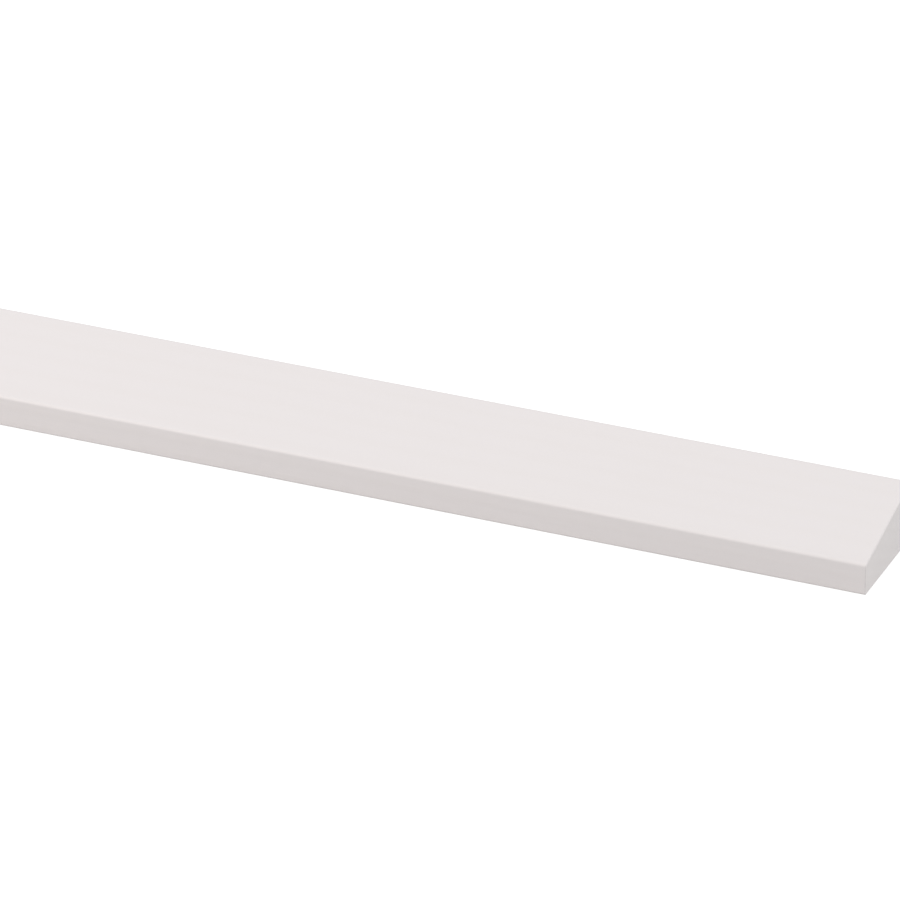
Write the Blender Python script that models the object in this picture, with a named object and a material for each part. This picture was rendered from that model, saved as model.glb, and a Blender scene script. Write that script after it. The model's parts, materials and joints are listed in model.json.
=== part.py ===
"""A short length of wedge-section glazing bead, the strip that holds a pane of glass in its rebate.

Metres, +Z up. X runs along the bead and +Y points at the pane. The origin is the middle of the
underside, the face that lies on the rebate.
"""

import math

import bmesh
import bpy
from mathutils import Vector

# The piece, cut square at both ends
BEAD_LENGTH = 0.180

# The section: a flat underside, a tall back against the pane and a low nose, with a slope between
REBATE_WIDTH = 0.022
GLASS_SIDE_HEIGHT = 0.01135
NOSE_HEIGHT = 0.0057

# The cutters round the two arrises that show, so that they hold their paint, and leave the two at the
# rebate crisper. Sanding takes the sharpness off the ends.
SIGHT_ARRIS_RADIUS = 0.0006
FOOT_ARRIS_RADIUS = 0.0003
LONG_ARRIS_STEPS = 6
END_ARRIS_RADIUS = 0.0002
END_ARRIS_STEPS = 3
CIRCULAR = 0.5  # the bevel's shape setting for a round arris

# White factory primer over timber
PRIMER_COLOUR = (0.86, 0.82, 0.82, 1.0)
PRIMER_ROUGHNESS = 0.5
NOT_METAL = 0.0

# A turn sharper than this between two faces stays a crease when the piece is shaded smooth
CREASE_ANGLE = math.radians(35)


def section_corners():
    """The sharp corners of the section as (y, z), each with the radius that eases it.

    They run from the foot of the nose along the underside, up the back and down the slope.
    """
    nose = -REBATE_WIDTH / 2
    back = REBATE_WIDTH / 2
    return [
        (Vector((nose, 0)), FOOT_ARRIS_RADIUS),
        (Vector((back, 0)), FOOT_ARRIS_RADIUS),
        (Vector((back, GLASS_SIDE_HEIGHT)), SIGHT_ARRIS_RADIUS),
        (Vector((nose, NOSE_HEIGHT)), SIGHT_ARRIS_RADIUS),
    ]


def eased_corner(before, corner, after, radius):
    """The arc that rounds one corner, as points from the side that arrives to the side that leaves.

    The arc touches both sides. Its centre lies inwards along the line that halves the corner, at
    the radius over the cosine of half the turn, and its points share out the turn evenly, from the
    outward normal of the side that arrives.
    """
    arriving = (corner - before).normalized()
    leaving = (after - corner).normalized()
    turn = arriving.angle(leaving)
    inwards = (leaving - arriving).normalized()
    centre = corner + inwards * radius / math.cos(turn / 2)
    outward_normal = math.atan2(-arriving.x, arriving.y)
    arc = []
    for step in range(LONG_ARRIS_STEPS + 1):
        angle = outward_normal + turn * step / LONG_ARRIS_STEPS
        arc.append(centre + radius * Vector((math.cos(angle), math.sin(angle))))
    return arc


def section_outline():
    """The whole section with its four arrises eased."""
    corners = section_corners()
    outline = []
    for place, (corner, radius) in enumerate(corners):
        before, _ = corners[place - 1]
        after, _ = corners[(place + 1) % len(corners)]
        outline += eased_corner(before, corner, after, radius)
    return outline


def mould(strip):
    """Fills the section at the left end and draws it out along X to the bead's full length."""
    left = -BEAD_LENGTH / 2
    section = strip.faces.new([strip.verts.new((left, y, z)) for y, z in section_outline()])
    drawn = bmesh.ops.extrude_face_region(strip, geom=[section])["geom"]
    far_end = [item for item in drawn if isinstance(item, bmesh.types.BMVert)]
    bmesh.ops.translate(strip, verts=far_end, vec=(BEAD_LENGTH, 0, 0))
    bmesh.ops.recalc_face_normals(strip, faces=strip.faces)


def ease_the_ends(strip):
    """Rounds the rim of each sawn end."""
    rims = [edge for edge in strip.edges if edge.verts[0].co.x == edge.verts[1].co.x]
    bmesh.ops.bevel(
        strip,
        geom=rims,
        offset=END_ARRIS_RADIUS,
        segments=END_ARRIS_STEPS,
        profile=CIRCULAR,
        affect="EDGES",
    )


def white_primer():
    """The coat on every side of the bead."""
    primer = bpy.data.materials.new("white_primer")
    primer.use_nodes = True
    coat = primer.node_tree.nodes["Principled BSDF"]
    coat.inputs["Base Color"].default_value = PRIMER_COLOUR
    coat.inputs["Roughness"].default_value = PRIMER_ROUGHNESS
    coat.inputs["Metallic"].default_value = NOT_METAL
    return primer


def glazing_bead():
    """The bead: one solid strip of timber, primed all over."""
    strip = bmesh.new()
    mould(strip)
    ease_the_ends(strip)
    mesh = bpy.data.meshes.new("glazing_bead")
    strip.to_mesh(mesh)
    strip.free()
    mesh.shade_smooth()
    mesh.set_sharp_from_angle(angle=CREASE_ANGLE)
    mesh.materials.append(white_primer())
    bead = bpy.data.objects.new("glazing_bead", mesh)
    bpy.context.scene.collection.objects.link(bead)


for left_over in list(bpy.data.objects):
    bpy.data.objects.remove(left_over)
glazing_bead()
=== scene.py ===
"""A short length of white primed glazing bead on a pale table. Metres, +Z up, X along the bead."""

import json
import math

import bpy
import numpy as np
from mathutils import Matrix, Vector


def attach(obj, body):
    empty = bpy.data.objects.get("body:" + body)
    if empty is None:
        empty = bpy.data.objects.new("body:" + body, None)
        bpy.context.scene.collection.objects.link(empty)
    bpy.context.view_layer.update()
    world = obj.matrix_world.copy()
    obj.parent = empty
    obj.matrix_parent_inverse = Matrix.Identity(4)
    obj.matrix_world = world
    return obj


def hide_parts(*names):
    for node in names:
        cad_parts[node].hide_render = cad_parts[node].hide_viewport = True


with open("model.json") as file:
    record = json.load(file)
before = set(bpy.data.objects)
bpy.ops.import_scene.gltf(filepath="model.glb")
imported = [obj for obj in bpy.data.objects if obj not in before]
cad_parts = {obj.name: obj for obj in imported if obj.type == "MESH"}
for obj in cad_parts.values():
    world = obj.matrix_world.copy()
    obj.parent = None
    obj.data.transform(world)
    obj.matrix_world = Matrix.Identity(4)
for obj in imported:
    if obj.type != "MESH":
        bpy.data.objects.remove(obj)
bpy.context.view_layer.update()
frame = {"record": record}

# The bead's form. One strip of softwood is planed to a wedge by the knives of a moulder and cut
# square to length. It lies on the face that goes on the rebate. The tall back goes against the
# glass, and the slope between the back and the low nose sheds the rain.

bead_length = 0.180
rebate_width = 0.022
glass_side_height = 0.01135
nose_height = 0.0057
sight_arris_radius = 0.0006
foot_arris_radius = 0.0003
end_arris_radius = 0.0002

# Grid of the surface: steps across each face and round each arris, and a narrow strip beside every
# arris that keeps the rounding out of the flat's shading. Along the bead there is a station at every
# quarter of a knife mark.
knife_pitch = 0.0016
station_pitch = knife_pitch / 4
steps_across = {"underside": 60, "back": 24, "slope": 60, "nose": 24}
half_arris_steps = 4
end_arris_steps = 4
margin = 0.00006

section_corners = np.array(
    [
        (-rebate_width / 2, 0.0),
        (rebate_width / 2, 0.0),
        (rebate_width / 2, glass_side_height),
        (-rebate_width / 2, nose_height),
    ]
)
corner_radii = np.array(
    [foot_arris_radius, foot_arris_radius, sight_arris_radius, sight_arris_radius]
)
side_runs = np.roll(section_corners, -1, axis=0) - section_corners
side_lengths = np.linalg.norm(side_runs, axis=1)
facing = np.unwrap(np.arctan2(-side_runs[:, 0], side_runs[:, 1]))
turns = np.mod(facing - np.roll(facing, 1), 2 * math.pi)
mitres = facing - turns / 2
arris_centres = section_corners - (corner_radii / np.cos(turns / 2))[:, None] * np.stack(
    [np.cos(mitres), np.sin(mitres)], axis=1
)


def section_side(side, steps):
    """One side of the section, from the middle of its first arris to the middle of its last.

    A point is a centre plus a normal times a radius. Round an arris the centre and the radius stay
    put and the normal turns. Along the flat the normal stays put, and the centre and the radius
    slide to the next arris. Returns the centres, the radii, the normals' angles and a mask that
    rises from 0 on the flat to 1 in the middle of each arris.
    """
    last = (side + 1) % len(section_corners)
    edge = margin / side_lengths[side]
    slide = np.concatenate([[0], np.linspace(edge, 1 - edge, steps - 1), [1]])
    easing = np.linspace(0, 1, half_arris_steps + 1)
    angles = facing[side] + np.concatenate(
        [
            turns[side] / 2 * (easing[:-1] - 1),
            np.zeros(steps + 1),
            turns[last] / 2 * easing[1:],
        ]
    )
    slide = np.concatenate([np.zeros(half_arris_steps), slide, np.ones(half_arris_steps)])[:, None]
    centres = (1 - slide) * arris_centres[side] + slide * arris_centres[last]
    radii = (1 - slide) * corner_radii[side] + slide * corner_radii[last]
    on_arris = np.concatenate([easing[::-1][:-1], np.zeros(steps + 1), easing[1:]])
    return centres, radii, angles, on_arris


sides = [section_side(side, steps) for side, steps in enumerate(steps_across.values())]
ring_centres, ring_radii, ring_angles, ring_arris = (
    np.concatenate([values[:-1] for values in kind]) for kind in zip(*sides)
)
ring_normals = np.stack([np.cos(ring_angles), np.sin(ring_angles)], axis=1)

# Stations along the bead: even ones, and a quarter circle that rounds each end's rim
rounding = np.linspace(0, math.pi / 2, end_arris_steps + 1)
rim_x = bead_length / 2 - end_arris_radius * (1 - np.sin(rounding))
rim_inset = end_arris_radius * (1 - np.cos(rounding))
rim_x = np.append(rim_x, bead_length / 2)
rim_inset = np.append(rim_inset, end_arris_radius + margin)
body_x = np.arange(1, round(bead_length / station_pitch)) * station_pitch - bead_length / 2
station_x = np.concatenate([-rim_x[::-1], body_x, rim_x])
station_inset = np.concatenate([rim_inset[::-1], np.zeros(len(body_x)), rim_inset])

# The timber and its tool marks. The knives leave a row of shallow hollows, one pitch apart. Under
# the water-based primer the soft early wood of each growth ring sinks a little and the hard late
# wood stands proud, and the spray dries with a slight ripple.

cutter_radius = 0.080
weakest_bite = 0.55

ring_spacing = 0.0028
pith = (-0.030, -0.055)
grain_slope = 1 / 90
wander_waves = {"slow": (0.0007, 0.0310, 0.0), "quick": (0.0003, 0.0117, 1.0)}
late_wood_sharpness = 4
early_wood_depth = 0.000014

ripple_waves = 14
ripple_lengths = (0.0014, 0.0032)
ripple_depth = 0.000008

chance = np.random.default_rng(seed=22)
knife_bites = chance.uniform(weakest_bite, 1, 1 + math.ceil(bead_length / knife_pitch))
ripple_directions = chance.normal(size=(ripple_waves, 3))
ripple_directions /= np.linalg.norm(ripple_directions, axis=1, keepdims=True)
ripple_numbers = 2 * math.pi / chance.uniform(*ripple_lengths, size=(ripple_waves, 1))
ripple_vectors = ripple_directions * ripple_numbers
ripple_phases = chance.uniform(0, 2 * math.pi, ripple_waves)


def knife_marks(points):
    """Depth of the knives' hollows: each is an arc of the cutter's circle, deepest at its middle.

    The arc's depth is the half pitch squared less the distance from its middle squared, over twice
    the cutter's radius, times the share that this knife bit.
    """
    along = (points[..., 0] + bead_length / 2) / knife_pitch
    mark = np.clip(np.floor(along), 0, len(knife_bites) - 1).astype(int)
    from_middle = (along - mark - 0.5) * knife_pitch
    arc = ((knife_pitch / 2) ** 2 - from_middle**2) / (2 * cutter_radius)
    return np.clip(arc, 0, None) * knife_bites[mark]


def late_wood(points):
    """Share of late wood: 1 on the crest of each growth ring, 0 in the early wood between.

    A crest is where the distance from the pith is a whole number of spacings. The pith leans
    against the bead and wanders in two waves, each a height times the sine of X over its reach
    plus its start. The share is a cosine raised to the late wood's sharpness.
    """
    x, y, z = np.moveaxis(points, -1, 0)
    wander = grain_slope * x
    for height, reach, start in wander_waves.values():
        wander = wander + height * np.sin(x / reach + start)
    from_pith = np.hypot(y - pith[0] + wander, z - pith[1]) / ring_spacing
    return np.cos(math.pi * from_pith) ** late_wood_sharpness


def spray_ripple(points):
    """Depth of the primer's ripple, from plane waves that run all ways through the wood.

    The waves' sum over twice the root of their number is their swing, held between -1 and 1. The
    depth is one plus the swing, times the ripple's depth.
    """
    waves = np.cos(points @ ripple_vectors.T + ripple_phases)
    swing = waves.sum(axis=-1) / math.sqrt(ripple_waves) / 2
    return ripple_depth * (1 + swing).clip(0, 2)


# The long faces: every station carries the whole section, drawn in by the station's inset and by
# the relief. The relief fades out before the rims, so the ends start from a clean outline.
relief_fade_length = 0.001
before_rim = bead_length / 2 - end_arris_radius - np.abs(station_x)
flat_points = ring_centres + (ring_radii - station_inset[:, None, None]) * ring_normals
skin = np.concatenate(
    [np.broadcast_to(station_x[:, None, None], flat_points.shape[:2] + (1,)), flat_points], axis=2
)
skin_late_wood = late_wood(skin)
relief = knife_marks(skin) + early_wood_depth * (1 - skin_late_wood) + spray_ripple(skin)
relief *= np.clip(before_rim / relief_fade_length, 0, 1)[:, None]
skin[..., 1:] -= relief[..., None] * ring_normals

station_count, ring_count = skin.shape[:2]
skin_index = np.arange(station_count * ring_count).reshape(station_count, ring_count)
around = np.roll(skin_index, -1, axis=1)
skin_faces = np.stack(
    [skin_index[:-1], around[:-1], around[1:], skin_index[1:]], axis=-1
).reshape(-1, 4)

# The sawn ends. Each is a patch stretched between the four sides of its rim. A circular saw leaves
# arcs on it, and the early wood drinks more primer and sinks deeper than on the long faces.

saw_radius = 0.125
saw_centre = (0.035, -0.108)
tooth_pitch = 0.0013
saw_mark_depth = 0.000008
end_grain_depth = 0.000030
fade_steepness = 12

side_starts = np.cumsum([0] + [len(centres) - 1 for centres, *_ in sides])


def rim_side(side, station):
    """The vertex numbers of one side of a rim, both its corners included."""
    at = np.arange(side_starts[side], side_starts[side + 1] + 1) % ring_count
    return skin_index[station, at]


def saw_marks(points):
    """Depth of the saw's marks: waves on the distance from the middle of the blade."""
    from_blade = np.hypot(points[..., 1] - saw_centre[0], points[..., 2] - saw_centre[1])
    wave = np.cos(2 * math.pi * (from_blade - saw_radius) / tooth_pitch)
    return saw_mark_depth * (1 + wave) / 2


def sawn_end(station, first_free, outward):
    """One end as a patch of two parameters: its points, their late wood and its faces.

    Each inner point is the blend of the rim's lower and upper sides, plus the blend of its left
    and right sides, less the blend of its four corners. The shares are how far the point is across
    and up the rim. Relief pushes the point inwards along X and fades to nothing at the rim.
    """
    low, right = rim_side(0, station), rim_side(1, station)
    top, left = rim_side(2, station)[::-1], rim_side(3, station)[::-1]
    flat = skin.reshape(-1, 3)
    across = (flat[low, 1] - flat[low[0], 1]) / (flat[low[-1], 1] - flat[low[0], 1])
    up = (flat[right, 2] - flat[right[0], 2]) / (flat[right[-1], 2] - flat[right[0], 2])
    across, up = across[:, None, None], up[None, :, None]
    upright = (1 - up) * flat[low][:, None] + up * flat[top][:, None]
    level = (1 - across) * flat[left][None] + across * flat[right][None]
    corner_blend = (1 - across) * ((1 - up) * flat[low[0]] + up * flat[top[0]]) + across * (
        (1 - up) * flat[low[-1]] + up * flat[top[-1]]
    )
    patch = upright + level - corner_blend
    fade_across = np.clip(fade_steepness * across * (1 - across), 0, 1)
    fade_up = np.clip(fade_steepness * up * (1 - up), 0, 1)
    crests = late_wood(patch)
    depth = saw_marks(patch) + end_grain_depth * (1 - crests) + spray_ripple(patch)
    patch[..., 0] -= outward * depth * (fade_across * fade_up)[..., 0]

    index = np.empty(patch.shape[:2], int)
    index[:, 0], index[:, -1], index[0], index[-1] = low, top, left, right
    inside = index[1:-1, 1:-1]
    inside[:] = first_free + np.arange(inside.size).reshape(inside.shape)
    corners = [index[:-1, :-1], index[1:, :-1], index[1:, 1:], index[:-1, 1:]]
    faces = np.stack(corners[::outward], axis=-1).reshape(-1, 4)
    return patch[1:-1, 1:-1].reshape(-1, 3), crests[1:-1, 1:-1].ravel(), faces


right_points, right_late_wood, right_faces = sawn_end(station_count - 1, skin_index.size, 1)
left_first = skin_index.size + len(right_points)
left_points, left_late_wood, left_faces = sawn_end(0, left_first, -1)

vertices = np.concatenate([skin.reshape(-1, 3), right_points, left_points])
faces = np.concatenate([skin_faces, right_faces, left_faces])
bead_mesh = bpy.data.meshes.new("primed_bead")
bead_mesh.from_pydata(vertices, [], faces)
bead_mesh.shade_smooth()

# Where the film is thin: 1 in the middle of each long arris and on the rims of the ends, and up to
# half as much over the late wood of the flats
thin_over_late_wood = 0.5
flats = 1 - np.maximum(ring_arris, (station_inset > 0)[:, None])
skin_thin = 1 - flats * (1 - thin_over_late_wood * skin_late_wood)
end_thin = thin_over_late_wood * np.concatenate([right_late_wood, left_late_wood])
thin_film = bead_mesh.attributes.new("thin_film", "FLOAT", "POINT")
thin_film.data.foreach_set("value", np.concatenate([skin_thin.ravel(), end_thin]))

sawn = np.arange(len(faces)) >= len(skin_faces)
bead_mesh.polygons.foreach_set("material_index", sawn.astype(np.int32))

# The primer. Factory primer is a chalky white film with a low sheen, about a tenth of a millimetre
# thick. It is sprayed on, so its depth drifts a little, and it draws thin over the arrises and the
# proud late wood. The wood's fibres stand up in it as fine hairs along the grain, among fine grit.

primer_white = tuple(frame["record"]["materials"][0]["base_color"]) + (1.0,)
thin_primer = (0.80, 0.745, 0.71, 1.0)
primer_ior = 1.48


def add_nodes(tree, kinds):
    """Adds one node for each name and kind, and returns them by name."""
    made = {}
    for name, kind in kinds.items():
        made[name] = tree.nodes.new(kind)
        made[name].name = made[name].label = name
    return made


def primer_film():
    """The node group of the film, in real sizes: colour, roughness and height in metres.

    Thinness is the piece's own mask times its share, plus clouds times theirs, and mixes the full
    film's colour with the thin one's. Roughness drifts on the same clouds. Height is hairs, a noise
    drawn out along X, plus a fine grit.
    """
    film = bpy.data.node_groups.new("primer_film", "ShaderNodeTree")
    sockets = {
        "Full Film": "NodeSocketColor",
        "Thin Film": "NodeSocketColor",
        "Thin Places": "NodeSocketFloat",
        "Thinning": "NodeSocketFloat",
        "Cloud Thinning": "NodeSocketFloat",
        "Roughness": "NodeSocketFloat",
        "Roughness Drift": "NodeSocketFloat",
        "Hair Height": "NodeSocketFloat",
        "Grit Height": "NodeSocketFloat",
    }
    for name, kind in sockets.items():
        film.interface.new_socket(name, in_out="INPUT", socket_type=kind)
    film.interface.new_socket("Color", in_out="OUTPUT", socket_type="NodeSocketColor")
    film.interface.new_socket("Roughness", in_out="OUTPUT", socket_type="NodeSocketFloat")
    film.interface.new_socket("Height", in_out="OUTPUT", socket_type="NodeSocketFloat")
    made = add_nodes(
        film,
        {
            "inputs": "NodeGroupInput",
            "outputs": "NodeGroupOutput",
            "place": "ShaderNodeTexCoord",
            "drawn out": "ShaderNodeMapping",
            "clouds": "ShaderNodeTexNoise",
            "hairs": "ShaderNodeTexNoise",
            "grit": "ShaderNodeTexNoise",
            "thin places": "ShaderNodeMath",
            "thinness": "ShaderNodeMath",
            "colour": "ShaderNodeMix",
            "drift": "ShaderNodeMath",
            "roughness": "ShaderNodeMath",
            "hair height": "ShaderNodeMath",
            "height": "ShaderNodeMath",
        },
    )
    hair_stretch = 25
    made["drawn out"].inputs["Scale"].default_value = (1 / hair_stretch, 1, 1)
    clouds_per_metre, hairs_per_metre, grit_per_metre = 70, 2400, 6500
    for name, per_metre in (
        ("clouds", clouds_per_metre),
        ("hairs", hairs_per_metre),
        ("grit", grit_per_metre),
    ):
        made[name].inputs["Scale"].default_value = per_metre
    made["colour"].data_type = "RGBA"
    for name, operation in (
        ("thin places", "MULTIPLY"),
        ("thinness", "MULTIPLY_ADD"),
        ("drift", "SUBTRACT"),
        ("roughness", "MULTIPLY_ADD"),
        ("hair height", "MULTIPLY"),
        ("height", "MULTIPLY_ADD"),
    ):
        made[name].operation = operation
    middle_of_noise = 0.5
    made["drift"].inputs[1].default_value = middle_of_noise
    mix = {socket.identifier: socket for socket in made["colour"].inputs}
    wires = (
        (made["place"].outputs["Object"], made["clouds"].inputs["Vector"]),
        (made["place"].outputs["Object"], made["grit"].inputs["Vector"]),
        (made["place"].outputs["Object"], made["drawn out"].inputs["Vector"]),
        (made["drawn out"].outputs["Vector"], made["hairs"].inputs["Vector"]),
        (made["inputs"].outputs["Thin Places"], made["thin places"].inputs[0]),
        (made["inputs"].outputs["Thinning"], made["thin places"].inputs[1]),
        (made["clouds"].outputs["Fac"], made["thinness"].inputs[0]),
        (made["inputs"].outputs["Cloud Thinning"], made["thinness"].inputs[1]),
        (made["thin places"].outputs[0], made["thinness"].inputs[2]),
        (made["thinness"].outputs[0], mix["Factor_Float"]),
        (made["inputs"].outputs["Full Film"], mix["A_Color"]),
        (made["inputs"].outputs["Thin Film"], mix["B_Color"]),
        (made["clouds"].outputs["Fac"], made["drift"].inputs[0]),
        (made["drift"].outputs[0], made["roughness"].inputs[0]),
        (made["inputs"].outputs["Roughness Drift"], made["roughness"].inputs[1]),
        (made["inputs"].outputs["Roughness"], made["roughness"].inputs[2]),
        (made["hairs"].outputs["Fac"], made["hair height"].inputs[0]),
        (made["inputs"].outputs["Hair Height"], made["hair height"].inputs[1]),
        (made["grit"].outputs["Fac"], made["height"].inputs[0]),
        (made["inputs"].outputs["Grit Height"], made["height"].inputs[1]),
        (made["hair height"].outputs[0], made["height"].inputs[2]),
        (made["colour"].outputs["Result"], made["outputs"].inputs["Color"]),
        (made["roughness"].outputs[0], made["outputs"].inputs["Roughness"]),
        (made["height"].outputs[0], made["outputs"].inputs["Height"]),
    )
    for start, end in wires:
        film.links.new(start, end)
    return film


film_group = primer_film()


def primed(name, film_values):
    """A material of the film with its own values. The shader's even numbers sit on its sockets."""
    material = bpy.data.materials.new(name)
    material.use_nodes = True
    tree = material.node_tree
    shader = tree.nodes["Principled BSDF"]
    made = add_nodes(
        tree,
        {"film": "ShaderNodeGroup", "thin film": "ShaderNodeAttribute", "relief": "ShaderNodeBump"},
    )
    made["film"].node_tree = film_group
    made["thin film"].attribute_name = "thin_film"
    height_in_metres = 1.0
    made["relief"].inputs["Distance"].default_value = height_in_metres
    values = {"Full Film": primer_white, "Thin Film": thin_primer, **film_values}
    for socket, value in values.items():
        made["film"].inputs[socket].default_value = value
    shader.inputs["IOR"].default_value = primer_ior
    tree.links.new(made["thin film"].outputs["Fac"], made["film"].inputs["Thin Places"])
    tree.links.new(made["film"].outputs["Color"], shader.inputs["Base Color"])
    tree.links.new(made["film"].outputs["Roughness"], shader.inputs["Roughness"])
    tree.links.new(made["film"].outputs["Height"], made["relief"].inputs["Height"])
    tree.links.new(made["relief"].outputs["Normal"], shader.inputs["Normal"])
    return material


primed_timber = primed(
    "primed_timber",
    {
        "Thinning": 0.12,
        "Cloud Thinning": 0.12,
        "Roughness": 0.5,
        "Roughness Drift": 0.12,
        "Hair Height": 0.000014,
        "Grit Height": 0.000007,
    },
)
sealed_end_grain = primed(
    "sealed_end_grain",
    {
        "Thinning": 0.12,
        "Cloud Thinning": 0.2,
        "Roughness": 0.62,
        "Roughness Drift": 0.16,
        "Hair Height": 0.0,
        "Grit Height": 0.000018,
    },
)

bead_mesh.materials.append(primed_timber)
bead_mesh.materials.append(sealed_end_grain)
primed_bead = bpy.data.objects.new("primed_bead", bead_mesh)
bpy.context.scene.collection.objects.link(primed_bead)
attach(primed_bead, "root")
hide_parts("glazing_bead")

# The table. The bead lies on a plain matt table, which throws back half of the light that falls on
# it. To the camera alone it also glows, until it burns out to white and hardly a shadow is left.

table_side = 12.0
table_colour = (0.50, 0.50, 0.50, 1.0)
burnt_out = 0.72

table_corners = table_side / 2 * np.array([(-1, -1, 0), (1, -1, 0), (1, 1, 0), (-1, 1, 0)])
table_mesh = bpy.data.meshes.new("pale_table")
table_mesh.from_pydata(table_corners, [], [(0, 1, 2, 3)])
table_finish = bpy.data.materials.new("matt_table")
table_finish.use_nodes = True
table_shader = table_finish.node_tree.nodes["Principled BSDF"]
table_shader.inputs["Base Color"].default_value = table_colour
table_shader.inputs["Roughness"].default_value = 1.0
table_shader.inputs["Specular IOR Level"].default_value = 0.0
table_shader.inputs["Emission Color"].default_value = (1, 1, 1, 1)
table_nodes = add_nodes(
    table_finish.node_tree, {"rays": "ShaderNodeLightPath", "glow": "ShaderNodeMath"}
)
table_nodes["glow"].operation = "MULTIPLY"
table_nodes["glow"].inputs[1].default_value = burnt_out
table_finish.node_tree.links.new(
    table_nodes["rays"].outputs["Is Camera Ray"], table_nodes["glow"].inputs[0]
)
table_finish.node_tree.links.new(
    table_nodes["glow"].outputs[0], table_shader.inputs["Emission Strength"]
)
table_mesh.materials.append(table_finish)
pale_table = bpy.data.objects.new("pale_table", table_mesh)
bpy.context.scene.collection.objects.link(pale_table)

# The light. A pale room fills in from all sides, and the camera sees its walls as plain white. A warm
# soft box stands off to the front left, so the slope and the nose are brightest there, and a second
# to the right lights the cut end.

room_light = 0.634
room_tint = (0.975, 1.0, 1.022, 1.0)
seen_white = 1.1

studio = bpy.data.worlds.new("studio")
studio.use_nodes = True
bpy.context.scene.world = studio
studio_nodes = studio.node_tree.nodes
walls = studio_nodes["Background"]
walls.inputs["Color"].default_value = room_tint
walls.inputs["Strength"].default_value = room_light
seen_walls = studio_nodes.new("ShaderNodeBackground")
seen_walls.inputs["Color"].default_value = (1, 1, 1, 1)
seen_walls.inputs["Strength"].default_value = seen_white
rays = studio_nodes.new("ShaderNodeLightPath")
chosen = studio_nodes.new("ShaderNodeMixShader")
for start, end in (
    (rays.outputs["Is Camera Ray"], chosen.inputs["Fac"]),
    (walls.outputs["Background"], chosen.inputs[1]),
    (seen_walls.outputs["Background"], chosen.inputs[2]),
    (chosen.outputs["Shader"], studio_nodes["World Output"].inputs["Surface"]),
):
    studio.node_tree.links.new(start, end)


def soft_box(name, place, side, power, tint):
    """A square lamp turned to the bead, which lights it but isn't seen itself."""
    lamp = bpy.data.lights.new(name, "AREA")
    lamp.size = side
    lamp.energy = power
    lamp.color = tint
    box = bpy.data.objects.new(name, lamp)
    box.location = place
    box.rotation_euler = (-Vector(place)).to_track_quat("-Z", "Y").to_euler()
    box.visible_camera = False
    bpy.context.scene.collection.objects.link(box)


soft_box(
    "front_left_soft_box",
    place=(-1.10, -0.72, 0.62),
    side=0.6,
    power=9.84,
    tint=(1.077, 1.0, 0.946),
)
soft_box(
    "right_soft_box",
    place=(1.35, 0.15, 0.70),
    side=0.8,
    power=6.68,
    tint=(1.02, 1.0, 0.963),
)

# The camera. A long lens, above and to the right of the cut end, aimed at the point in the middle
# of the picture, so the bead's left end lies just outside it.

aim = np.array([0.02160, -0.02781, 0.02167])
camera_distance = 1.2555
camera_turn = math.radians(22.92)
camera_height = math.radians(27.23)
camera_lens = 300

looking = np.array(
    [
        -math.sin(camera_turn) * math.cos(camera_height),
        math.cos(camera_turn) * math.cos(camera_height),
        -math.sin(camera_height),
    ]
)
lens = bpy.data.cameras.new("camera")
lens.lens = camera_lens
camera = bpy.data.objects.new("camera", lens)
camera.location = aim - camera_distance * looking
camera.rotation_euler = (math.pi / 2 - camera_height, 0, camera_turn)
bpy.context.scene.collection.objects.link(camera)
bpy.context.scene.camera = camera
bpy.context.scene.view_settings.view_transform = "Standard"
